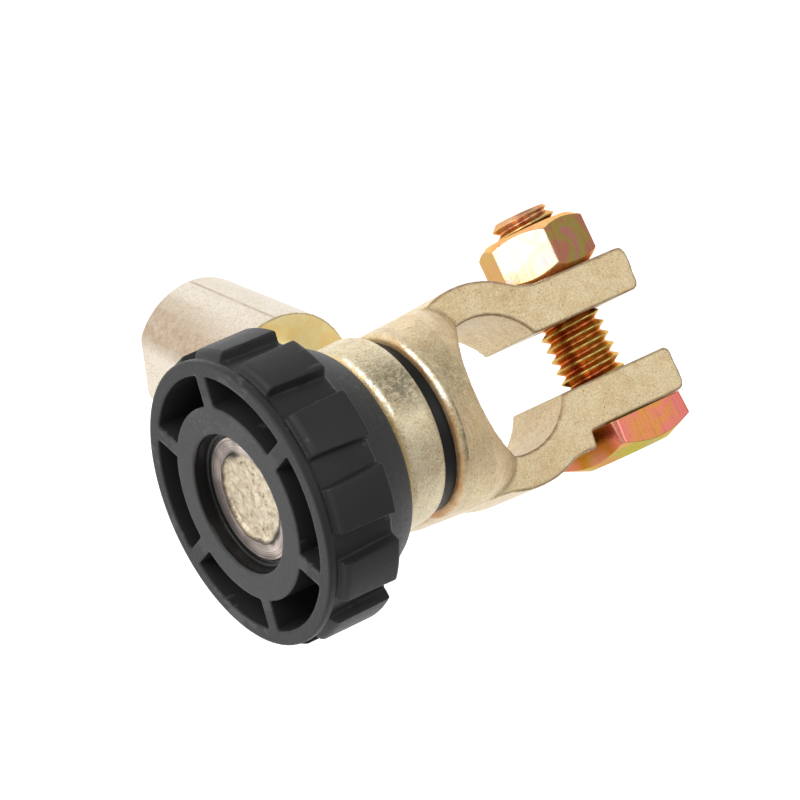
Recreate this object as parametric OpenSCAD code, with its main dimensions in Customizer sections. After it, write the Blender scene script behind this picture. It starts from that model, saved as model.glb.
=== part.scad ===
// Battery disconnect switch with a hand knob, for a battery's round post.
// X runs along the main axis, from the knob towards the clamp's ears.
// Y runs along the clamp bolt, towards its nut. Z runs along the battery post.
// The origin is on the post's axis, at the clamp's lower face. Millimetres.

/* [Clamp] */
// Diameter of the battery post bore
bore_d = 17; // [16:0.1:18]
// Height of the clamp along the battery post
clamp_h = 12.4; // [11.5:0.1:13]
// Outer radius of the clamp's ring
ring_r = 12.75; // [12.3:0.05:13.2]
// Gap between the two ears
ear_gap = 7.8; // [7:0.1:8.4]
// Thickness of each ear
ear_t = 5.5; // [5:0.1:6]
// Distance from the bore axis to the end of the ears
ear_x = 24.2; // [23.5:0.1:25]
// Distance from the bore axis to the bolt axis
bolt_x = 16.65; // [16.4:0.05:17]
// Radius of the bolt holes in the ears
ear_hole_r = 4.3; // [4.2:0.05:4.6]

/* [Main axis] */
// Height of the knob's axis above the clamp's lower face
axis_z = 12; // [12:0.1:12.6]
// Radius of the clamp's disc
disc_r = 11.5; // [11.4:0.05:11.8]
// Sideways offset of the disc and web from the bore, as cast
disc_y = 0.3; // [0:0.05:0.4]
// Front face of the clamp's disc
disc_x0 = -14.6; // [-14.8:0.1:-14.4]

/* [Clamp bolt] */
// Major diameter of the bolt's thread
bolt_d = 7.94; // [7.9:0.02:8]
// Width across the flats of the square head
head_af = 12.6; // [12:0.05:12.7]
// Height of the square head
head_h = 4.45; // [4:0.05:4.6]
// End of the thread above the main axis plane
bolt_end = 18; // [17:0.1:19]
// Width across the flats of the nut
nut_af = 12.2; // [12:0.1:12.4]
// Height of the nut
nut_h = 6.5; // [6:0.1:6.8]

/* [Terminal] */
// Radius of the terminal's ring at the knob's side
term_r = 11.6; // [11.4:0.05:11.8]
// Angle of the cable post from straight down, towards the nut
post_angle = 34; // [20:1:40]
// Diameter of the cable post at its shoulder
post_d0 = 19.5; // [19:0.1:19.8]
// Diameter of the cable post at its end
post_d1 = 17.5; // [17:0.1:18]
// Distance from the main axis to the post's shoulder
post_h0 = 18; // [17.9:0.1:19]
// Distance from the main axis to the post's end
post_h1 = 36.5; // [35:0.1:37]

/* [Knob] */
// Outer radius of the knob's front rim
rim_r = 17.05; // [16.9:0.05:17.2]
// Outer radius over the grip pads
pad_r = 17.75; // [17.5:0.05:17.8]
// Radius of the hub
hub_r = 11.6; // [11.4:0.1:11.8]
// Number of spokes
spokes = 6; // [6:1:6]
// Width of each spoke
spoke_w = 1.95; // [1.6:0.05:2.2]

/* [Contact] */
// Radius of the threaded contact screw
screw_r = 7.45; // [7.3:0.05:7.5]
// Radius of the contact rivet's shank
rivet_r = 3.5; // [3.3:0.1:3.6]

/* [Hidden] */
$fn = 96;

e = 0.01;
bore_r = bore_d / 2;
gap = ear_gap / 2;
ear_y = gap + ear_t;
bolt_z = clamp_h / 2;
bolt_r = bolt_d / 2;

// stations along the main axis
knob_x0 = -37.85;      // front face of the knob's rim
screw_x0 = -36;        // front end of the contact screw
pad_x0 = -36.35;
pad_x1 = -28.55;
skirt_x = -22.9;       // rear edge of the knob's skirt
skirt_r = 12.7;
boss_x = -30;          // front end of the terminal's threaded boss
term_x0 = -22.3;       // front face of the terminal's ring
term_x1 = -16.4;       // rear face of the terminal's ring
floor_x = -18.2;       // inner floor of the terminal's ring
washer_t = disc_x0 - term_x1 - 0.04;
rivet_x0 = -20.1;      // contact face of the rivet
knob_phase = 17.8;     // angle of the first spoke from +Y

// a rounded corner as points: centre, radius, first and last angle
function arc(cx, cy, r, a0, a1, n = 5) =
    [for (i = [0:n]) let (a = a0 + (a1 - a0) * i / n) [cx + r * cos(a), cy + r * sin(a)]];

// solid of revolution about the main axis; profile points are [radius, x]
module rev_x(pts) {
    translate([0, 0, axis_z]) rotate([0, 90, 0]) rotate_extrude() polygon(pts);
}
// straight cylinder along the main axis from xa to xb
module cyl_x(r, xa, xb) {
    translate([xa, 0, axis_z]) rotate([0, 90, 0]) cylinder(r = r, h = xb - xa);
}
// cylinder along the bolt axis from ya to yb
module cyl_y(r, ya, yb) {
    translate([bolt_x, yb, bolt_z]) rotate([90, 0, 0]) cylinder(r = r, h = yb - ya);
}
// prism along the bolt axis with n corners on radius r, first corner at angle a
module prism_y(r, ya, yb, n, a) {
    translate([bolt_x, yb, bolt_z]) rotate([90, 0, 0]) rotate([0, 0, a])
        cylinder(r = r, h = yb - ya, $fn = n);
}
// solid of revolution about the bolt axis; profile points are [radius, y]
module rev_y(pts) {
    translate([bolt_x, 0, bolt_z]) rotate([-90, 0, 0]) rotate_extrude() polygon(pts);
}

// ---------------------------------------------------------------- clamp
// plan of the split clamp: ring, two ears and the ledge beside the square head
module clamp_plan() {
    difference() {
        union() {
            circle(r = ring_r);
            // ears, with slightly uneven cast ends
            polygon([[0, -ear_y], [ear_x - 1.2, -ear_y], [ear_x - 0.55, -ear_y + 0.2], [ear_x - 0.2, -ear_y + 0.75],
                     [ear_x, -7.3], [ear_x - 0.1, -5.7], [ear_x, -4.9], [ear_x - 0.15, -4.3], [ear_x - 0.6, -gap],
                     [ear_x - 0.9, gap], [ear_x - 0.35, gap + 0.25], [ear_x - 0.05, 4.8], [ear_x - 0.03, 6.1],
                     [ear_x + 0.15, 7.7], [ear_x, 8.7], [ear_x - 0.35, ear_y - 0.15], [ear_x - 1, ear_y], [0, ear_y]]);
            // low fillet where the ring runs into the upper ear
            polygon([[5.9, 11.2], [7.3, 10.45], [8.1, 10], [9.2, 9.7], [10.4, ear_y], [10, 8], [5.5, 8]]);
            // ledge that stops the square head from turning
            polygon([[2.3, -12.5], [4.4, -11.75], [6, -11.48], [7.3, -11.42], [8.6, -11.48], [9, -11.25],
                     [9.05, -ear_y], [6, -8], [2, -9]]);
            // web back to the disc
            polygon([[disc_x0 + 0.9, -10.95], [-11, -11.5], [-4.5, -11.93], [0, -8], [0, 8],
                     [-4.5, 11.93], [-11, 11.65], [disc_x0 + 0.9, 11.35]]);
        }
        circle(r = bore_r);
        translate([0, -gap]) square([ear_x + 5, ear_gap]);
    }
}

// web that rises from the ring to the disc: half elliptical sections, largest at the disc
module saddle() {
    // [x, half width, height above the main axis]
    sections = [[-13.5, 11.5, 10.0], [-11.6, 11.6, 9.35], [-8.5, 11.8, 8.5], [-6.5, 11.55, 7.0],
                [-4.6, 11.1, 5.1], [-3.2, 10.3, 3.2], [-2.0, 8.8, 0.6]];
    hull() for (s = sections)
        translate([s[0], disc_y, axis_z]) rotate([90, 0, 90]) linear_extrude(0.02)
            polygon([for (i = [0:28]) let (a = 180 * i / 28) [s[1] * cos(a), s[2] * sin(a)]]);
}

module clamp_body() {
    color([0.80, 0.70, 0.50])
    difference() {
        union() {
            linear_extrude(clamp_h) clamp_plan();
            // disc that carries the switch
            translate([0, disc_y, 0]) rev_x(concat([[0, disc_x0]], arc(disc_r - 0.75, disc_x0 + 0.75, 0.75, -90, 0),
                         [[disc_r - 0.1, disc_x0 + 1.15]],
                         // concave flare from the rim down to the web
                         arc(disc_r + 0.25, disc_x0 + 2.9, 1.75, 262, 186, 7), [[0, disc_x0 + 3.3]]));
            saddle();
            // lower half of the web, between the disc and the ring
            intersection() {
                translate([disc_x0 + 0.9, disc_y - disc_r + 0.3, 0]) cube([9, 2 * disc_r - 0.6, axis_z]);
                cyl_x(disc_r + 3.9, -14, 0);
            }
        }
        // battery post bore, open upwards through the web
        translate([0, 0, -1]) cylinder(r = bore_r, h = 30);
        // bolt holes in both ears
        cyl_y(ear_hole_r, -ear_y - 1, ear_y + 1);
        // hole and countersink for the contact rivet
        cyl_x(rivet_r, disc_x0 - 1, -5);
        cyl_x(6.4, -10.9, -5);
    }
}

// ---------------------------------------------------------------- contact stack
// rivet whose broad head is the fixed contact; its tail is upset in the web
module contact_rivet() {
    color([0.78, 0.62, 0.35])
    rev_x([[0, rivet_x0], [6.0, rivet_x0], [6.3, rivet_x0 + 0.3], [6.3, floor_x - 0.7],
           [rivet_r, floor_x - 0.7], [rivet_r, -10.9], [5.6, -10.9], [5.2, -10.2], [4.2, -9.7], [0, -9.6]]);
}

module insulating_washer() {
    color([0.07, 0.07, 0.07])
    translate([0, disc_y, 0])
        rev_x([[4.85, disc_x0 - washer_t], [10.45, disc_x0 - washer_t], [10.45, disc_x0], [4.85, disc_x0]]);
}

// flanged sleeve between the rivet and the terminal's floor
module insulating_bush() {
    color([0.85, 0.83, 0.76])
    rev_x([[rivet_r, floor_x - 0.7], [7.2, floor_x - 0.7], [7.2, floor_x - 0.03],
           [4.5, floor_x - 0.03], [4.5, disc_x0], [rivet_r, disc_x0]]);
}

// ---------------------------------------------------------------- terminal
module post_terminal() {
    color([0.83, 0.75, 0.57])
    difference() {
        union() {
            // ring, slightly barrelled, and the threaded boss under the knob
            rev_x([[0, boss_x], [10.2, boss_x], [10.5, boss_x + 0.3], [10.5, -20], [0, -20]]);
            // ring: it stands a little towards the nut's side, as cast, and has a chamfered front
            hull() {
                translate([0, 0.3, 0]) cyl_x(10.85, term_x0, term_x0 + 0.1, $fn = 144);
                translate([0, 0.55, 0]) cyl_x(term_r - 0.2, term_x0 + 0.7, term_x0 + 0.75, $fn = 144);
                translate([0, 0.6, 0]) cyl_x(term_r - 0.02, term_x0 + 1, term_x0 + 1.1, $fn = 144);
                translate([0, 0.65, 0]) cyl_x(term_r, term_x0 + 1.5, term_x0 + 1.6, $fn = 144);
                translate([0, 0.9, 0]) cyl_x(term_r - 0.1, term_x1 - 1, term_x1 - 0.9, $fn = 144);
                translate([0, 0.85, 0]) cyl_x(term_r - 0.4, term_x1 - 0.1, term_x1, $fn = 144);
            }
            // neck out to the post's shoulder
            translate([0, 0, axis_z]) rotate([post_angle, 0, 0]) {
                translate([term_x0 + 0.5, -6, -post_h0 - 0.5]) cube([term_x1 - term_x0 - 0.6, 12, post_h0 - 8]);
                // post, tapered to its end, with a low round at the end
                translate([post_x, 0, -post_h1]) difference() {
                    union() {
                        cylinder(r1 = post_d1 / 2 - 0.4, r2 = post_d1 / 2, h = 0.4);
                        translate([0, 0, 0.4])
                            cylinder(r1 = post_d1 / 2, r2 = post_d0 / 2, h = post_h1 - post_h0 - 0.4);
                    }
                    // flat on the knob's side
                    translate([-20, -15, -1]) cube([20 - post_flat, 30, 40]);
                }
            }
        }
        // threaded bore for the contact screw
        cyl_x(screw_r + 0.05, boss_x - 1, floor_x);
        // hole for the insulating bush
        cyl_x(4.55, boss_x, term_x1 + 1);
    }
}
post_x = -18;
post_flat = 7.75;

// ---------------------------------------------------------------- knob
module sealing_ring() {
    color([0.05, 0.05, 0.05])
    rev_x([[10.56, -24.2], [11.56, -24.2], [11.56, -23.2], [10.56, -23.2]]);
}

// threaded plug moulded into the knob; its front end shows in the hub
module contact_screw() {
    color([0.74, 0.66, 0.58])
    difference() {
        rev_x([[0, screw_x0], [screw_r - 0.1, screw_x0], [screw_r, screw_x0 + 0.1],
               [screw_r, rivet_x0 - 0.8], [screw_r - 0.75, rivet_x0 - 0.05], [0, rivet_x0 - 0.05]]);
        // shallow rough centre in the front end
        rev_x([[0, screw_x0 - 1], [5.4, screw_x0 - 1], [5.4, screw_x0 + 0.15], [5.0, screw_x0 + 0.45], [0, screw_x0 + 0.45]]);
    }
}

module knob() {
    pocket_x = -30.9;
    color([0.09, 0.09, 0.09])
    difference() {
        union() {
            // rim wall, back plate, domed skirt and hub
            rev_x(concat([[hub_r, knob_x0]],
                         [[rim_r - 0.2, knob_x0]], arc(rim_r - 0.2, knob_x0 + 0.2, 0.2, -90, 0, 3),
                         [[rim_r, knob_x0 + 1], [16.5, knob_x0 + 1.4], [16.35, -28.7]],
                         [[15.9, -28.35], [15.3, -27.2], [14.55, -25.8], [13.75, -24.4], [13.15, -23.4],
                          [skirt_r, skirt_x], [11.6, skirt_x],
                          [11.6, -24.3], [10.95, -24.3], [10.95, boss_x - 1],
                          [screw_r, boss_x - 1], [screw_r, screw_x0 + 0.02], [8.15, screw_x0 + 0.02], [8.3, knob_x0 + 0.3],
                          [8.5, knob_x0]]));
            // grip pads
            intersection() {
                rev_x([[14, pad_x0 + 0.1], [16.9, pad_x0], [17.5, pad_x0 + 0.3], [pad_r, pad_x0 + 0.8],
                       [pad_r, pad_x1 - 0.3], [pad_r - 0.15, pad_x1], [14, pad_x1]]);
                for (k = [0:11])
                    translate([0, 0, axis_z]) rotate([knob_phase + 30 * k, 0, 0]) rotate([-90, 0, 0])
                        translate([0, 0, 14]) linear_extrude(5)
                            polygon([[pad_x0 - 1, -2.6], [pad_x1 + 1, -2.95], [pad_x1 + 1, 2.95], [pad_x0 - 1, 2.6]]);
            }
        }
        // pockets between the spokes
        difference() {
            rev_x([[hub_r, knob_x0 - 1], [15.3, knob_x0 - 1], [15.1, pocket_x], [hub_r + 0.15, pocket_x]]);
            for (k = [0:spokes - 1])
                translate([0, 0, axis_z]) rotate([knob_phase + 60 * k, 0, 0])
                    translate([knob_x0, 10, -spoke_w / 2]) cube([12, 7, spoke_w]);
        }
    }
}

// ---------------------------------------------------------------- clamp bolt and nut
module clamp_bolt() {
    color([0.74, 0.55, 0.30])
    union() {
        // square head with a chamfered underside; the corner rests by the ledge
        intersection() {
            prism_y(head_af / sqrt(2), -ear_y - head_h - 0.03, -ear_y - 0.03, 4, 214.5);
            rev_y([[0, -ear_y - 0.03], [8.95, -ear_y - 0.03], [8.95, -ear_y - 2.82],
                   [5.2, -ear_y - head_h - 0.03], [0, -ear_y - head_h - 0.03]]);
        }
        rev_y([[0, -ear_y - 1], [bolt_r, -ear_y - 1], [bolt_r, bolt_end - 0.8],
               [bolt_r - 0.8, bolt_end], [0, bolt_end]]);
    }
}

module clamp_nut() {
    y0 = ear_y + 0.03;
    color([0.80, 0.62, 0.45])
    difference() {
        intersection() {
            prism_y(nut_af / sqrt(3), y0, y0 + nut_h, 6, 227.4);
            rev_y([[0, y0], [5.35, y0], [7.2, y0 + 1.2], [7.2, y0 + nut_h - 1.15],
                   [5.35, y0 + nut_h], [0, y0 + nut_h]]);
        }
        cyl_y(bolt_r + 0.05, y0 - 1, y0 + nut_h + 1);
    }
}

clamp_body();
contact_rivet();
insulating_washer();
insulating_bush();
post_terminal();
sealing_ring();
contact_screw();
knob();
clamp_bolt();
clamp_nut();
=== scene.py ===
import bpy
import bmesh
import math
import numpy as np
from mathutils import Matrix, Vector


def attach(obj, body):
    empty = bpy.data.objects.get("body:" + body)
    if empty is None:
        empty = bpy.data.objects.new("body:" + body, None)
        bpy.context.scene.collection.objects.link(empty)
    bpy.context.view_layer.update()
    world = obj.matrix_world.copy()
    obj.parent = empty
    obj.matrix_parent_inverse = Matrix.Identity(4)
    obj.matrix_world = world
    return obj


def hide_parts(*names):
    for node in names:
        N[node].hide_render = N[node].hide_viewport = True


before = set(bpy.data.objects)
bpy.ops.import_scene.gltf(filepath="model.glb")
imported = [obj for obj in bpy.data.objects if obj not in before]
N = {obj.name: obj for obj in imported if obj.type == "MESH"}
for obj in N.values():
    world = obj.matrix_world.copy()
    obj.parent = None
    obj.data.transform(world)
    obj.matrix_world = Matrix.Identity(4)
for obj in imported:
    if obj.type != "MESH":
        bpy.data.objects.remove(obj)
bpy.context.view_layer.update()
MM = 0.001

# sizes shared with the construction, in millimetres
AXIS_Z = 12.0
BOLT_X, BOLT_Z, BOLT_R, BOLT_END = 16.65, 6.2, 3.97, 18.0
PITCH, PHASE_Y = 1.45, 0.414
EAR_Y = 9.4


# ------------------------------------------------------------------ material helpers
def new_mat(name):
    m = bpy.data.materials.new(name)
    m.use_nodes = True
    nt = m.node_tree
    nt.nodes.clear()
    out = nt.nodes.new("ShaderNodeOutputMaterial")
    b = nt.nodes.new("ShaderNodeBsdfPrincipled")
    nt.links.new(b.outputs["BSDF"], out.inputs["Surface"])
    tc = nt.nodes.new("ShaderNodeTexCoord")
    return m, nt, b, tc.outputs["Object"]


def noise(nt, vec, scale, detail=4.0, rough=0.55, dist=0.0):
    n = nt.nodes.new("ShaderNodeTexNoise")
    n.inputs["Scale"].default_value = scale
    n.inputs["Detail"].default_value = detail
    n.inputs["Roughness"].default_value = rough
    n.inputs["Distortion"].default_value = dist
    nt.links.new(vec, n.inputs["Vector"])
    return n.outputs["Fac"]


def voronoi(nt, vec, scale, feature="F1"):
    n = nt.nodes.new("ShaderNodeTexVoronoi")
    n.feature = feature
    n.inputs["Scale"].default_value = scale
    nt.links.new(vec, n.inputs["Vector"])
    return n.outputs["Distance"]


def ramp(nt, fac, stops):
    r = nt.nodes.new("ShaderNodeValToRGB")
    e = r.color_ramp.elements
    while len(e) < len(stops):
        e.new(0.5)
    for k, (p, c) in enumerate(stops):
        e[k].position = p
        e[k].color = (*c, 1) if len(c) == 3 else c
    nt.links.new(fac, r.inputs["Fac"])
    return r.outputs["Color"]


def remap(nt, fac, a, b, c, d):
    r = nt.nodes.new("ShaderNodeMapRange")
    r.inputs["From Min"].default_value = a
    r.inputs["From Max"].default_value = b
    r.inputs["To Min"].default_value = c
    r.inputs["To Max"].default_value = d
    nt.links.new(fac, r.inputs["Value"])
    return r.outputs["Result"]


def mix(nt, fac, a, b, mode="MIX"):
    m = nt.nodes.new("ShaderNodeMix")
    m.data_type = "RGBA"
    m.blend_type = mode
    for sock, v in ((m.inputs[0], fac), (m.inputs[6], a), (m.inputs[7], b)):
        if hasattr(v, "is_linked"):
            nt.links.new(v, sock)
        elif isinstance(v, (int, float)):
            sock.default_value = v
        else:
            sock.default_value = (*v, 1)
    return m.outputs[2]


def math_node(nt, op, a, b=0.5):
    m = nt.nodes.new("ShaderNodeMath")
    m.operation = op
    for sock, v in ((m.inputs[0], a), (m.inputs[1], b)):
        if hasattr(v, "is_linked"):
            nt.links.new(v, sock)
        else:
            sock.default_value = v
    return m.outputs[0]


def bump(nt, shader, height, strength, dist):
    b = nt.nodes.new("ShaderNodeBump")
    b.inputs["Strength"].default_value = strength
    b.inputs["Distance"].default_value = dist
    nt.links.new(height, b.inputs["Height"])
    nt.links.new(b.outputs["Normal"], shader.inputs["Normal"])


# ------------------------------------------------------------------ materials
POST_DIR = (0.0, 0.559193, -0.829038)


def dot_dir(nt, vec, direction, offset=0.0):
    """Component of a vector along a direction, less an offset."""
    d = nt.nodes.new("ShaderNodeVectorMath")
    d.operation = "DOT_PRODUCT"
    nt.links.new(vec, d.inputs[0])
    d.inputs[1].default_value = direction
    return math_node(nt, "SUBTRACT", d.outputs["Value"], offset)


def band(nt, value, a, b, soft):
    """1 between a and b, 0 outside, with soft edges."""
    lo = remap(nt, value, a - soft, a + soft, 0.0, 1.0)
    hi = remap(nt, value, b - soft, b + soft, 1.0, 0.0)
    return math_node(nt, "MULTIPLY", lo, hi)


def blob(nt, vec, centre, radius, soft):
    """1 inside a sphere, 0 outside, with a soft edge; the radius and edge are in metres."""
    d = nt.nodes.new("ShaderNodeVectorMath")
    d.operation = "DISTANCE"
    nt.links.new(vec, d.inputs[0])
    d.inputs[1].default_value = centre
    return remap(nt, d.outputs["Value"], radius - soft, radius + soft, 1.0, 0.0)


def convex(nt, lo, hi):
    g = nt.nodes.new("ShaderNodeNewGeometry")
    return remap(nt, g.outputs["Pointiness"], lo, hi, 0.0, 1.0)


def radius_x(nt, P, y0=0.0):
    """Distance from the knob's axis."""
    sep = nt.nodes.new("ShaderNodeSeparateXYZ")
    nt.links.new(P, sep.inputs["Vector"])
    y = math_node(nt, "SUBTRACT", sep.outputs["Y"], y0)
    z = math_node(nt, "SUBTRACT", sep.outputs["Z"], 0.012)
    return math_node(nt, "SQRT", math_node(nt, "ADD", math_node(nt, "MULTIPLY", y, y), math_node(nt, "MULTIPLY", z, z)))


def cast_material(name, light, mid_c, dark, rust, post=False):
    m, nt, b, P = new_mat(name)
    big = noise(nt, P, 120, 3, 0.6)
    patch = noise(nt, P, 330, 5, 0.7)
    fine = noise(nt, P, 1150, 6, 0.72)
    grain = noise(nt, P, 3300, 4, 0.65)
    speck = noise(nt, P, 4600, 2, 0.7)
    col = ramp(nt, patch, [(0.36, mid_c), (0.60, light)])
    # worn plating: warm film in patches, and fine pits
    film = math_node(nt, "MULTIPLY", remap(nt, big, 0.46, 0.66, 0.0, 1.0), remap(nt, fine, 0.42, 0.62, 0.1, 0.6))
    col = mix(nt, film, col, rust)
    col = mix(nt, remap(nt, grain, 0.40, 0.60, 0.34, 0.0), col, dark)
    col = mix(nt, remap(nt, fine, 0.27, 0.36, 0.15, 0.0), col, dark)
    # small pits, thicker in some patches than in others
    mottle = noise(nt, P, 760, 4, 0.6, 0.4)
    col = mix(nt, remap(nt, mottle, 0.50, 0.66, 0.0, 0.5), col, rust)
    pits = math_node(nt, "MULTIPLY", remap(nt, speck, 0.35, 0.41, 1.0, 0.0), remap(nt, mottle, 0.42, 0.56, 0.25, 0.95))
    col = mix(nt, pits, col, (0.20, 0.13, 0.07))
    # tarnished patches with dense dark specks; on the clamp the specks also fill the valley behind the disc's rim,
    # painted shade for the hollow's dark reflection
    if post:
        spots = math_node(nt, "MULTIPLY", blob(nt, P, (-0.0186, 0.0048, 0.0228), 0.0029, 0.0014), 0.9)
    else:
        r = radius_x(nt, P, 0.0003)
        x = dot_dir(nt, P, (1.0, 0.0, 0.0))
        valley_shade = math_node(nt, "MULTIPLY", band(nt, x, -0.0139, -0.0123, 0.0003), remap(nt, r, 0.0095, 0.0100, 0.0, 1.0))
        valley_shade = math_node(nt, "MULTIPLY", valley_shade, remap(nt, dot_dir(nt, P, (0.0, -0.276, 0.961), 0.01145), 0.0102, 0.0109, 0.2, 1.0))
        spots = math_node(nt, "MAXIMUM", math_node(nt, "MULTIPLY", valley_shade, 1.0), math_node(nt, "MULTIPLY", blob(nt, P, (-0.0110, 0.0030, 0.0206), 0.0036, 0.0024), 0.55))
        # warmer film over the middle of the web, and a thin orange-brown line at the disc's front edge, on its lower
        # side
        warm = math_node(nt, "MULTIPLY", blob(nt, P, (-0.0070, -0.0020, 0.0185), 0.0060, 0.0035), remap(nt, patch, 0.35, 0.65, 0.15, 0.65))
        col = mix(nt, warm, col, (0.74, 0.50, 0.26))
        low = remap(nt, dot_dir(nt, P, (0.0, 0.9, -0.436)), -0.0020, 0.0035, 1.0, 0.0)
        front_edge_line = math_node(nt, "MULTIPLY", band(nt, x, -0.01475, -0.01428, 0.00012), remap(nt, patch, 0.35, 0.6, 0.85, 0.35))
        front_edge_line = math_node(nt, "MULTIPLY", front_edge_line, low)
        col = mix(nt, front_edge_line, col, (0.46, 0.20, 0.06))
        # painted shade: the valley behind the rim is also darkened olive
        col = mix(nt, math_node(nt, "MULTIPLY", valley_shade, remap(nt, fine, 0.40, 0.60, 0.65, 0.15)), col, (0.24, 0.20, 0.11))
    # dark specks: tarnish, and on the clamp painted shade along the valley
    dirt_and_shade = math_node(nt, "MULTIPLY", spots, remap(nt, noise(nt, P, 1500, 5, 0.8), 0.44, 0.60, 0.75, 0.0))
    col = mix(nt, dirt_and_shade, col, (0.11, 0.095, 0.06))
    # brown line along the edges
    if not post:
        lines = math_node(nt, "MULTIPLY", convex(nt, 0.510, 0.540), remap(nt, x, -0.0055, -0.0030, 0.0, 1.0))
        col = mix(nt, math_node(nt, "MULTIPLY", lines, remap(nt, fine, 0.35, 0.55, 0.35, 0.85)), col, (0.31, 0.19, 0.11))
    rough = remap(nt, grain, 0.3, 0.7, 0.27, 0.46)
    if not post:
        # painted highlight: the rim's crest is painted near white where it faces up towards the lamps; its lower
        # roughness stands for real polish
        painted_highlight = math_node(nt, "MULTIPLY", band(nt, x, -0.01448, -0.01400, 0.00010), remap(nt, dot_dir(nt, P, (0.0, 0.407, 0.914), 0.01109), 0.01018, 0.01080, 0.0, 0.9))
        painted_highlight = math_node(nt, "MULTIPLY", painted_highlight, remap(nt, fine, 0.42, 0.54, 0.10, 1.0))
        col = mix(nt, painted_highlight, col, (0.97, 0.92, 0.80))
        rough = mix(nt, painted_highlight, rough, (0.24, 0.24, 0.24))
    if post:
        h = dot_dir(nt, P, POST_DIR, 0.012 * POST_DIR[2])
        # smooth, more golden shoulder and neck between the ring and the post
        gold = band(nt, h, 0.0128, 0.0181, 0.00004)
        col = mix(nt, math_node(nt, "MULTIPLY", gold, 0.95), col,
                  mix(nt, remap(nt, patch, 0.35, 0.65, 0.0, 1.0), (1.0, 0.76, 0.30), (1.0, 0.95, 0.58)))
        edge = band(nt, h, 0.01785, 0.01840, 0.00014)
        rr = radius_x(nt, P)
        edge = math_node(nt, "MULTIPLY", edge, convex(nt, 0.52, 0.56))
        col = mix(nt, math_node(nt, "MULTIPLY", edge, 0.85), col, (0.20, 0.09, 0.04))
        # chamfer at the front of the ring, brighter gold
        x = dot_dir(nt, P, (1.0, 0.0, 0.0))
        front = band(nt, x, -0.0230, -0.02155, 0.00012)
        front = math_node(nt, "MULTIPLY", front, remap(nt, rr, 0.0135, 0.0140, 1.0, 0.0))
        col = mix(nt, math_node(nt, "MULTIPLY", front, 0.85), col, (0.80, 0.58, 0.26))
        # painted highlight: the ring's front crest is painted near white where it faces up towards the lamps; its lower
        # roughness stands for real polish
        painted_highlight = math_node(nt, "MULTIPLY", band(nt, x, -0.02172, -0.02118, 0.00012), remap(nt, dot_dir(nt, P, (0.0, 0.500, 0.866), 0.01039), 0.01060, 0.01105, 0.0, 0.85))
        painted_highlight = math_node(nt, "MULTIPLY", painted_highlight, math_node(nt, "MULTIPLY", remap(nt, fine, 0.42, 0.54, 0.10, 1.0), remap(nt, rr, 0.0135, 0.0140, 1.0, 0.0)))
        col = mix(nt, painted_highlight, col, (0.98, 0.94, 0.84))
        rough = mix(nt, painted_highlight, rough, (0.2, 0.2, 0.2))
        # greyer, paler film on the post, and its mould parting line
        far = remap(nt, h, 0.0182, 0.0186, 0.0, 1.0)
        col = mix(nt, math_node(nt, "MULTIPLY", far, remap(nt, patch, 0.4, 0.6, 0.65, 0.85)), col, (0.72, 0.66, 0.58))
        # painted shade: a darker tan band on the side towards the knob, above the flat, standing for the post's darker
        # reflection there
        across = dot_dir(nt, P, (0.0, 0.829038, 0.559193), 0.012 * 0.559193)
        tan_shade = math_node(nt, "MULTIPLY", band(nt, across, 0.0034, 0.0082, 0.0012), far)
        tan_shade = math_node(nt, "MULTIPLY", tan_shade, remap(nt, x, -0.0200, -0.0215, 0.0, 1.0))
        tan_shade = math_node(nt, "MULTIPLY", tan_shade, remap(nt, fine, 0.35, 0.65, 1.0, 0.6))
        col = mix(nt, tan_shade, col, (0.34, 0.24, 0.145))
        # grain and pits show through the film
        col = mix(nt, math_node(nt, "MULTIPLY", far, remap(nt, grain, 0.40, 0.58, 0.30, 0.0)), col, (0.42, 0.33, 0.25))
        col = mix(nt, math_node(nt, "MULTIPLY", far, math_node(nt, "MULTIPLY", pits, 0.7)), col, (0.26, 0.19, 0.13))
        line = math_node(nt, "MULTIPLY", band(nt, math_node(nt, "SUBTRACT", x, -0.018), -0.00020, 0.00020, 0.00009), far)
        line = math_node(nt, "MULTIPLY", line, remap(nt, patch, 0.38, 0.58, 0.3, 0.75))
        col = mix(nt, line, col, (0.36, 0.25, 0.16))
    nt.links.new(col, b.inputs["Base Color"])
    if post:
        nt.links.new(remap(nt, gold, 0.0, 1.0, 0.62, 0.12), b.inputs["Metallic"])
    else:
        b.inputs["Metallic"].default_value = 0.62
    nt.links.new(rough, b.inputs["Roughness"])
    h2 = math_node(nt, "ADD", math_node(nt, "MULTIPLY", fine, 1.0), math_node(nt, "MULTIPLY", grain, 0.4))
    h2 = math_node(nt, "ADD", h2, math_node(nt, "MULTIPLY", patch, 1.6))
    h2 = math_node(nt, "ADD", h2, math_node(nt, "MULTIPLY", big, 3.0))
    if post:
        h2 = math_node(nt, "SUBTRACT", h2, math_node(nt, "MULTIPLY", line, 0.7))
    bump(nt, b, h2, 0.45, 0.00016)
    return m


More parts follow.
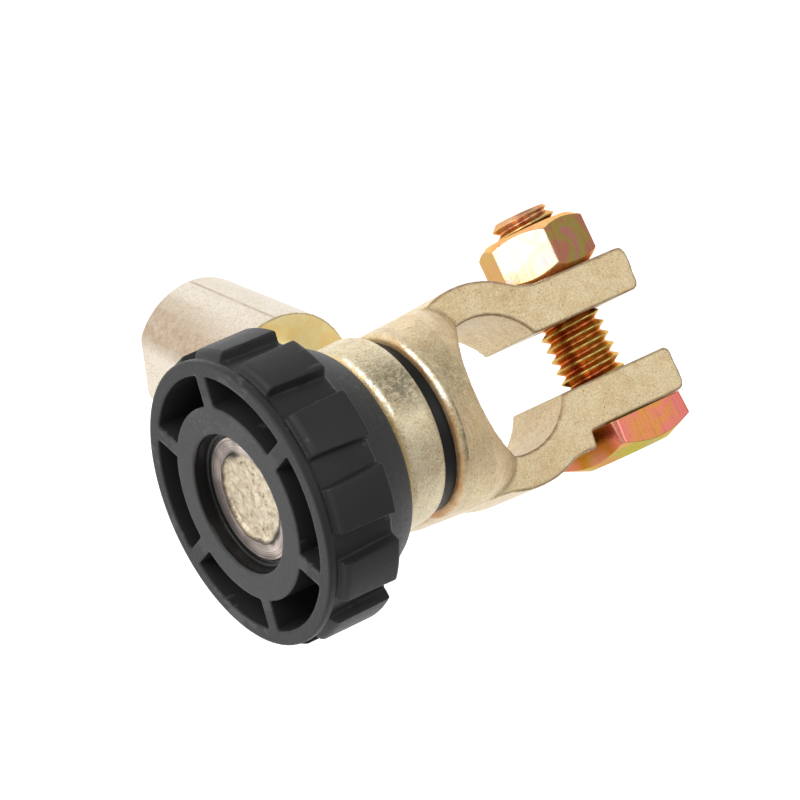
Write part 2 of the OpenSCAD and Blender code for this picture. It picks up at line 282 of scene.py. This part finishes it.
def knob_material(name):
    m, nt, b, P = new_mat(name)
    f = noise(nt, P, 2600, 3, 0.6)
    g = noise(nt, P, 90, 3)
    c = noise(nt, P, 650, 5, 0.75)
    col = ramp(nt, g, [(0.3, (0.0175, 0.0175, 0.0178)), (0.7, (0.0220, 0.0220, 0.0223))])
    col = mix(nt, remap(nt, c, 0.64, 0.74, 0.0, 0.25), col, (0.05, 0.05, 0.051))
    # convex edges a little lighter
    col = mix(nt, math_node(nt, "MULTIPLY", convex(nt, 0.545, 0.605), 0.6), col, (0.060, 0.060, 0.061))
    # the step round the screw is painted near black, as shade inside the hole, and made smooth; the hub has a few
    # moulding marks
    x = dot_dir(nt, P, (1.0, 0.0, 0.0))
    hole_wall_shade = math_node(nt, "MULTIPLY", remap(nt, radius_x(nt, P), 0.00850, 0.00862, 1.0, 0.0), remap(nt, x, -0.03780, -0.03765, 0.0, 1.0))
    hole_wall_shade = math_node(nt, "MULTIPLY", hole_wall_shade, remap(nt, x, -0.0340, -0.0339, 1.0, 0.0))
    col = mix(nt, hole_wall_shade, col, (0.0035, 0.0035, 0.0036))
    hub = math_node(nt, "MULTIPLY", remap(nt, radius_x(nt, P), 0.0126, 0.0130, 1.0, 0.0), remap(nt, x, -0.03775, -0.03765, 1.0, 0.0))
    col = mix(nt, math_node(nt, "MULTIPLY", hub, 0.6), col, (0.044, 0.044, 0.0445))
    marks = math_node(nt, "MULTIPLY", blob(nt, P, (-0.0378, 0.0100, 0.0125), 0.0024, 0.0010), remap(nt, noise(nt, P, 1700, 5, 0.8), 0.54, 0.62, 0.0, 0.7))
    col = mix(nt, marks, col, (0.085, 0.085, 0.086))
    nt.links.new(col, b.inputs["Base Color"])
    nt.links.new(mix(nt, hole_wall_shade, remap(nt, f, 0.3, 0.7, 0.42, 0.55), (0.25, 0.25, 0.25)), b.inputs["Roughness"])
    b.inputs["Specular IOR Level"].default_value = 0.22
    bump(nt, b, math_node(nt, "ADD", f, math_node(nt, "MULTIPLY", c, 1.5)), 0.16, 0.00006)
    return m


def plain_material(name, c, rough, metal=0.0, vary=0.12, scale=400, spec=0.5):
    m, nt, b, P = new_mat(name)
    f = noise(nt, P, scale, 4)
    lo = tuple(x * (1 - vary) for x in c)
    hi = tuple(min(1, x * (1 + vary)) for x in c)
    nt.links.new(ramp(nt, f, [(0.3, lo), (0.7, hi)]), b.inputs["Base Color"])
    nt.links.new(remap(nt, f, 0.3, 0.7, rough - 0.05, rough + 0.05), b.inputs["Roughness"])
    b.inputs["Metallic"].default_value = metal
    b.inputs["Specular IOR Level"].default_value = spec
    bump(nt, b, noise(nt, P, 2500, 3), 0.1, 0.00004)
    return m


def screw_material(name):
    """Turned silvery ring round a rough golden centre."""
    m, nt, b, P = new_mat(name)
    r = radius_x(nt, P)
    wob = math_node(nt, "MULTIPLY", math_node(nt, "SUBTRACT", noise(nt, P, 230, 5, 0.7), 0.5), 0.0013)
    rr = math_node(nt, "ADD", r, wob)
    f = noise(nt, P, 900, 6, 0.75)
    g = noise(nt, P, 3000, 3, 0.6)
    q = noise(nt, P, 300, 4, 0.6)
    centre = ramp(nt, f, [(0.34, (0.10, 0.07, 0.045)), (0.43, (0.48, 0.39, 0.26)), (0.60, (0.80, 0.71, 0.55))])
    centre = mix(nt, remap(nt, q, 0.4, 0.65, 0.0, 0.45), centre, (0.60, 0.52, 0.42))
    turned = noise(nt, vec_of(nt, r, 4200.0), 1.0, 2, 0.5)
    ring = ramp(nt, turned, [(0.35, (0.30, 0.24, 0.21)), (0.62, (0.70, 0.59, 0.53))])
    ring = mix(nt, remap(nt, noise(nt, P, 210, 2, 0.5), 0.46, 0.62, 0.0, 0.75), ring, (0.17, 0.14, 0.13))
    col = mix(nt, remap(nt, rr, 0.00535, 0.00555, 0.0, 1.0), centre, ring)
    gap = math_node(nt, "MULTIPLY", band(nt, rr, 0.00525, 0.00560, 0.00012), remap(nt, q, 0.35, 0.6, 1.0, 0.35))
    col = mix(nt, math_node(nt, "MULTIPLY", gap, 0.9), col, (0.05, 0.035, 0.025))
    for spot, size in (((-0.036, -0.0053, 0.0138), 0.0019), ((-0.036, -0.0036, 0.0158), 0.0008), ((-0.036, 0.0054, 0.0122), 0.0011)):
        crack = math_node(nt, "MULTIPLY", blob(nt, P, spot, size, 0.0006), band(nt, rr, 0.00485, 0.00580, 0.00016))
        gap = math_node(nt, "MAXIMUM", gap, crack)
        col = mix(nt, math_node(nt, "MULTIPLY", crack, 0.9), col, (0.03, 0.022, 0.018))
    nt.links.new(col, b.inputs["Base Color"])
    b.inputs["Metallic"].default_value = 0.75
    nt.links.new(remap(nt, rr, 0.0053, 0.0056, 0.45, 0.28), b.inputs["Roughness"])
    h = math_node(nt, "ADD", math_node(nt, "MULTIPLY", f, remap(nt, rr, 0.0053, 0.0056, 2.0, 0.3)), math_node(nt, "MULTIPLY", g, 0.3))
    h = math_node(nt, "ADD", h, math_node(nt, "MULTIPLY", turned, 0.3))
    h = math_node(nt, "ADD", h, math_node(nt, "MULTIPLY", q, remap(nt, rr, 0.0053, 0.0056, 1.8, 0.0)))
    h = math_node(nt, "SUBTRACT", h, math_node(nt, "MULTIPLY", gap, 1.2))
    bump(nt, b, h, 0.55, 0.0002)
    return m


def radius_y(nt, P):
    """Distance from the bolt's axis."""
    sep = nt.nodes.new("ShaderNodeSeparateXYZ")
    nt.links.new(P, sep.inputs["Vector"])
    x = math_node(nt, "SUBTRACT", sep.outputs["X"], BOLT_X * MM)
    z = math_node(nt, "SUBTRACT", sep.outputs["Z"], BOLT_Z * MM)
    return math_node(nt, "SQRT", math_node(nt, "ADD", math_node(nt, "MULTIPLY", x, x), math_node(nt, "MULTIPLY", z, z)))


def vec_of(nt, value, scale):
    """A vector with value times scale in X, for noise that depends on one number."""
    c = nt.nodes.new("ShaderNodeCombineXYZ")
    nt.links.new(math_node(nt, "MULTIPLY", value, scale), c.inputs["X"])
    return c.outputs["Vector"]


def facing(nt, direction, lo, hi):
    """0 to 1 as the surface turns towards a direction of the object."""
    t = nt.nodes.new("ShaderNodeTexCoord")
    return remap(nt, dot_dir(nt, t.outputs["Normal"], direction), lo, hi, 0.0, 1.0)


def chromate_material(name, base, faces, spots, tints=(), metal=1.0, scale=190, rough=0.2, crest=None, specks=0.6):
    """Yellow chromate film: a colour that drifts over the part, with a tint for each way the metal faces.
    faces lists (direction, lo, hi, stops); tints lists (centre, radius, edge, colour, amount)."""
    m, nt, b, P = new_mat(name)
    v = nt.nodes.new("ShaderNodeVectorMath")
    v.operation = "MULTIPLY"
    nt.links.new(P, v.inputs[0])
    v.inputs[1].default_value = (1.0, 0.04, 1.0)
    lines = noise(nt, v.outputs["Vector"], 2600, 2, 0.5)
    a = noise(nt, P, scale, 3, 0.55, 0.8)
    f = noise(nt, P, 1300, 5, 0.65)
    col = ramp(nt, a, base)
    for direction, lo, hi, stops in faces:
        col = mix(nt, facing(nt, direction, lo, hi), col, ramp(nt, a, stops))
    # painted highlight: the thread's crests are painted a lighter yellow-green than the roots
    if crest:
        col = mix(nt, remap(nt, radius_y(nt, P), 0.00345, 0.00385, 0.0, 0.75), col, crest)
    for centre, radius, edge, tint, amount in tints:
        t = math_node(nt, "MULTIPLY", blob(nt, P, centre, radius, edge), remap(nt, a, 0.3, 0.7, amount * 0.6, amount))
        col = mix(nt, t, col, tint)
    col = mix(nt, remap(nt, lines, 0.34, 0.46, 0.22, 0.0), col, spots)
    col = mix(nt, remap(nt, f, 0.30, 0.38, specks, 0.0), col, spots)
    nt.links.new(col, b.inputs["Base Color"])
    b.inputs["Metallic"].default_value = metal
    b.inputs["Specular Tint"].default_value = (1.0, 0.72, 0.45, 1)
    nt.links.new(remap(nt, f, 0.3, 0.7, rough, rough + 0.13), b.inputs["Roughness"])
    bump(nt, b, math_node(nt, "ADD", f, math_node(nt, "MULTIPLY", lines, 0.8)), 0.2, 0.00006)
    return m


# places of the film's tints on the bolt's head: centre, radius, edge, colour, amount
HEAD_TINTS = [
    ((0.0114, -0.0135, 0.0085), 0.0017, 0.0007, (0.52, 0.22, 0.15), 0.85),
    ((0.0099, -0.0128, 0.0035), 0.0016, 0.0007, (0.56, 0.18, 0.12), 0.85),
    ((0.0165, -0.0148, 0.0116), 0.0013, 0.0007, (0.36, 0.42, 0.34), 0.8),
    ((0.0118, -0.0108, 0.0135), 0.0018, 0.0009, (0.96, 0.25, 0.25), 0.9),
    ((0.0238, -0.0103, 0.0114), 0.0020, 0.0009, (0.97, 0.24, 0.24), 0.9),
]
M_CAST = cast_material("cast_brass", (0.80, 0.665, 0.41), (0.73, 0.585, 0.34), (0.24, 0.16, 0.09), (0.60, 0.40, 0.20))
M_POST = cast_material("post_cast", (0.79, 0.695, 0.47), (0.69, 0.595, 0.39), (0.24, 0.18, 0.11), (0.62, 0.46, 0.27), True)
M_RIVET = plain_material("rivet_brass", (0.62, 0.42, 0.18), 0.3, 1.0)
M_SCREW = screw_material("screw_metal")
M_KNOB = knob_material("knob_plastic")
M_WASH = plain_material("washer_plastic", (0.006, 0.006, 0.0065), 0.40, spec=0.25)
M_BUSH = plain_material("bush_plastic", (0.7, 0.67, 0.58), 0.35)
M_SEAL = plain_material("seal_rubber", (0.015, 0.015, 0.015), 0.6)
M_THREAD = chromate_material(
    "thread_zinc", [(0.32, (0.46, 0.13, 0.05)), (0.48, (0.52, 0.20, 0.06)), (0.60, (0.50, 0.30, 0.09)), (0.72, (0.48, 0.14, 0.09))],
    [], (0.12, 0.035, 0.02), [((BOLT_X * MM, 0.0188, BOLT_Z * MM), 0.0040, 0.0012, (0.80, 0.52, 0.50), 0.5)],
    # painted highlight colour for the thread's crests
    crest=(0.62, 0.50, 0.17))
M_HEAD = chromate_material(
    "bolt_zinc", [(0.34, (0.42, 0.30, 0.11)), (0.44, (0.39, 0.36, 0.10)), (0.54, (0.36, 0.38, 0.09)), (0.70, (0.42, 0.35, 0.16))],
    [((0.182, 0.0, 0.983), 0.90, 0.97, [(0.36, (0.98, 0.27, 0.24)), (0.46, (0.97, 0.28, 0.22)), (0.57, (0.90, 0.38, 0.10)), (0.68, (0.98, 0.28, 0.23))]),
     ((-0.983, 0.0, 0.182), 0.90, 0.97, [(0.36, (0.44, 0.14, 0.03)), (0.50, (0.42, 0.16, 0.02)), (0.62, (0.41, 0.20, 0.025)), (0.74, (0.44, 0.13, 0.05))])],
    (0.40, 0.14, 0.08),
    HEAD_TINTS, specks=0.2)
M_NUT = chromate_material(
    "nut_zinc", [(0.34, (0.74, 0.36, 0.18)), (0.50, (0.74, 0.44, 0.20)), (0.64, (0.62, 0.50, 0.22)), (0.76, (0.76, 0.38, 0.30))],
    [((0.218, 0.0, 0.976), 0.93, 0.97, [(0.45, (0.50, 0.20, 0.13)), (0.53, (0.42, 0.28, 0.08)), (0.58, (0.34, 0.32, 0.075)), (0.64, (0.51, 0.21, 0.16))]),
     # the face towards (-0.736, 0, 0.677) is painted near white, a painted highlight for the strip lamp's reflection,
     # with the film's pink and green tints
     ((-0.736, 0.0, 0.677), 0.93, 0.97, [(0.36, (0.99, 0.80, 0.79)), (0.47, (0.95, 0.97, 0.64)), (0.56, (0.98, 0.98, 0.90)), (0.66, (0.97, 0.97, 0.90)), (0.76, (0.96, 0.78, 0.84))]),
     ((-0.954, 0.0, -0.299), 0.93, 0.97, [(0.36, (0.48, 0.29, 0.21)), (0.50, (0.47, 0.32, 0.16)), (0.62, (0.43, 0.35, 0.14)), (0.74, (0.48, 0.29, 0.24))])],
    (0.42, 0.18, 0.10), specks=0.25)
MATS = {"clamp_body": M_CAST, "contact_rivet": M_RIVET, "insulating_washer": M_WASH,
        "insulating_bush": M_BUSH, "post_terminal": M_POST, "sealing_ring": M_SEAL,
        "contact_screw": M_SCREW, "knob": M_KNOB, "clamp_bolt": M_HEAD, "clamp_nut": M_NUT}
for n, o in N.items():
    o.data.materials.clear()
    o.data.materials.append(MATS[n])


# ------------------------------------------------------------------ softened castings
def soften(o, voxel, steps, keep=1.0, factor=0.5):
    w = o.modifiers.new("weld", "WELD")
    w.merge_threshold = 1e-6
    r = o.modifiers.new("remesh", "REMESH")
    r.mode = "VOXEL"
    r.voxel_size = voxel * MM
    r.use_smooth_shade = True
    s = o.modifiers.new("soft", "SMOOTH")
    s.factor = factor
    s.iterations = steps
    if keep < 1:
        d = o.modifiers.new("lighter", "DECIMATE")
        d.ratio = keep


def edge_round(o, width, angle=24, segments=2):
    w = o.modifiers.new("weld", "WELD")
    w.merge_threshold = 1e-6
    b = o.modifiers.new("edges", "BEVEL")
    b.width = width * MM
    b.segments = segments
    b.limit_method = "ANGLE"
    b.angle_limit = math.radians(angle)
    b.harden_normals = False


soften(N["clamp_body"], 0.22, 4)
soften(N["post_terminal"], 0.23, 4)
soften(N["knob"], 0.165, 2, 0.4)
edge_round(N["clamp_nut"], 0.12)


# ------------------------------------------------------------------ clamp bolt with a real thread
def threaded_bolt():
    y0, y1 = -(EAR_Y + 0.02), BOLT_END
    turns = PITCH
    rows = int(round((y1 - y0) / turns * 24))
    cols = 104
    ys = np.linspace(y0, y1, rows + 1)
    th = np.linspace(0, 2 * np.pi, cols, endpoint=False)
    minor = BOLT_R - 0.84
    f = ((ys[:, None] - PHASE_Y) / PITCH - th[None, :] / (2 * np.pi)) % 1.0
    f = np.minimum(f, 1 - f)                      # 0 at the crest, 0.5 at the root
    t = np.clip((f - 0.055) / (0.5 - 0.055 - 0.07), 0, 1)
    r = BOLT_R - (BOLT_R - minor) * t
    # chamfered end
    r = np.minimum(r, BOLT_R - np.clip(ys[:, None] - (y1 - 0.85), 0, None) * 1.0)
    # a little unevenness along the crests
    r = r + 0.02 * np.sin(th[None, :] * 3 + ys[:, None] * 2.1) * (t < 0.2)
    r = np.minimum(r, BOLT_R)
    verts = []
    for i, y in enumerate(ys):
        for j, a in enumerate(th):
            verts.append(((BOLT_X + r[i, j] * math.sin(a)) * MM, y * MM, (BOLT_Z + r[i, j] * math.cos(a)) * MM))
    faces = []
    for i in range(rows):
        for j in range(cols):
            k = (j + 1) % cols
            faces.append((i * cols + j, i * cols + k, (i + 1) * cols + k, (i + 1) * cols + j))
    # slightly dished end face
    base = len(verts)
    last = rows * cols
    for j, a in enumerate(th):
        q2 = r[rows, j] * 0.6
        verts.append(((BOLT_X + q2 * math.sin(a)) * MM, (y1 - 0.05) * MM, (BOLT_Z + q2 * math.cos(a)) * MM))
    verts.append((BOLT_X * MM, (y1 - 0.07) * MM, BOLT_Z * MM))
    for j in range(cols):
        k = (j + 1) % cols
        faces.append((last + j, last + k, base + k, base + j))
        faces.append((base + j, base + k, base + cols))
    faces.append(tuple(range(cols - 1, -1, -1)))
    me = bpy.data.meshes.new("clamp_bolt_threaded")
    me.from_pydata(verts, [], faces)
    me.validate()
    me.update()
    for p in me.polygons:
        p.use_smooth = True
    ob = bpy.data.objects.new("clamp_bolt_threaded", me)
    bpy.context.scene.collection.objects.link(ob)
    return ob


def bolt_head():
    """The square head alone, copied from the construction's solid without its shank."""
    src = N["clamp_bolt"].data
    bm = bmesh.new()
    bm.from_mesh(src)
    bmesh.ops.remove_doubles(bm, verts=bm.verts, dist=1e-7)
    cut = [v for v in bm.verts if v.co.y > (-EAR_Y + 0.005) * MM]
    bmesh.ops.delete(bm, geom=cut, context="VERTS")
    # broad rounds on the four upright corners
    bmesh.ops.dissolve_limit(bm, angle_limit=math.radians(0.5), verts=bm.verts, edges=bm.edges)
    corner = [e for e in bm.edges
              if abs((e.verts[0].co - e.verts[1].co).normalized().y) > 0.999
              and math.hypot(e.verts[0].co.x / MM - BOLT_X, e.verts[0].co.z / MM - BOLT_Z) > 8.5]
    bmesh.ops.bevel(bm, geom=corner, offset=0.8 * MM, offset_type="OFFSET", segments=5, profile=0.5, affect="EDGES")
    me = bpy.data.meshes.new("clamp_bolt_head")
    bm.to_mesh(me)
    bm.free()
    ob = bpy.data.objects.new("clamp_bolt_head", me)
    bpy.context.scene.collection.objects.link(ob)
    edge_round(ob, 0.14)
    return ob


for ob, mat in ((threaded_bolt(), M_THREAD), (bolt_head(), M_HEAD)):
    ob.data.materials.append(mat)
    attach(ob, "bolt")
    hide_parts("clamp_bolt")

# ------------------------------------------------------------------ stage, light, camera
R = np.array([[0.78458, -0.41921, 0.45683], [0.35115, 0.90767, 0.22983], [-0.511, -0.01991, 0.85935]])
q, _ = np.linalg.qr(R.T)
R = (q * np.sign((q * R.T).sum(0))).T
right, up, back = [Vector(v) for v in R]
TOP = Vector((0, 0, 12.4))
S, D = 8.5447, 400.0
ux, uy = (499.99 - 400) / S, -(385.54 - 400) / S
cam_pos = (TOP - right * ux - up * uy + back * D) * MM
cd = bpy.data.cameras.new("photo_camera")
cd.sensor_width = 36
cd.lens = 36 * S * D / 800
cd.clip_start = 0.01
cd.clip_end = 20
cam = bpy.data.objects.new("photo_camera", cd)
cam.matrix_world = Matrix.Translation(cam_pos) @ Matrix(R.T.tolist()).to_4x4()
bpy.context.scene.collection.objects.link(cam)
bpy.context.scene.camera = cam

fm = bpy.data.materials.new("floor_white")
fm.use_nodes = True
fb = fm.node_tree.nodes["Principled BSDF"]
fb.inputs["Base Color"].default_value = (0.45, 0.45, 0.45, 1)
fb.inputs["Roughness"].default_value = 0.9
fb.inputs["Emission Color"].default_value = (1, 1, 1, 1)
fb.inputs["Emission Strength"].default_value = 0.94
fb.inputs["Specular IOR Level"].default_value = 0.0
me = bpy.data.meshes.new("floor")
fz = -0.0236
me.from_pydata([(-3, -3, fz), (3, -3, fz), (3, 3, fz), (-3, 3, fz)], [], [(0, 1, 2, 3)])
me.materials.append(fm)
floor = bpy.data.objects.new("floor", me)
bpy.context.scene.collection.objects.link(floor)


def area_light(name, direction, dist, size, watts, long_side=None, length=None):
    """A soft box; long_side is the direction that its longer side runs along."""
    ld = bpy.data.lights.new(name, "AREA")
    ld.shape = "RECTANGLE" if length else "SQUARE"
    ld.size = size
    if length:
        ld.size_y = length
    ld.energy = watts
    ob = bpy.data.objects.new(name, ld)
    c = Vector((-0.005, 0.0, 0.008))
    d = Vector(direction).normalized()
    ob.location = c + d * dist
    if long_side is None:
        ob.rotation_euler = d.to_track_quat("Z", "Y").to_euler()
    else:
        y = (long_side - d * long_side.dot(d)).normalized()
        ob.rotation_euler = Matrix((y.cross(d), y, d)).transposed().to_euler()
    bpy.context.scene.collection.objects.link(ob)


area_light("left", -right * 0.66 + up * 0.06 + back * 0.75, 0.5, 0.5, 0.55)
area_light("strip", -right * 0.63 + up * 0.47 + back * 0.62, 0.6, 0.26, 1.6, -right * 0.1 + up * 0.95 - back * 0.64, 0.62)
area_light("front", right * 0.05 + up * 0.5 + back * 0.86, 0.6, 0.3, 0.72)
area_light("right", right * 0.80 + up * 0.34 + back * 0.48, 0.6, 0.35, 0.42)
area_light("edge", right * 0.88 + up * 0.44 + back * 0.12, 0.6, 0.24, 0.045)
area_light("low", -right * 0.20 - up * 0.75 + back * 0.60, 0.6, 0.3, 0.22)

w = bpy.data.worlds.new("studio")
w.use_nodes = True
w.node_tree.nodes["Background"].inputs["Color"].default_value = (1, 1, 1, 1)
w.node_tree.nodes["Background"].inputs["Strength"].default_value = 0.5
bpy.context.scene.world = w
bpy.context.scene.view_settings.view_transform = "Standard"
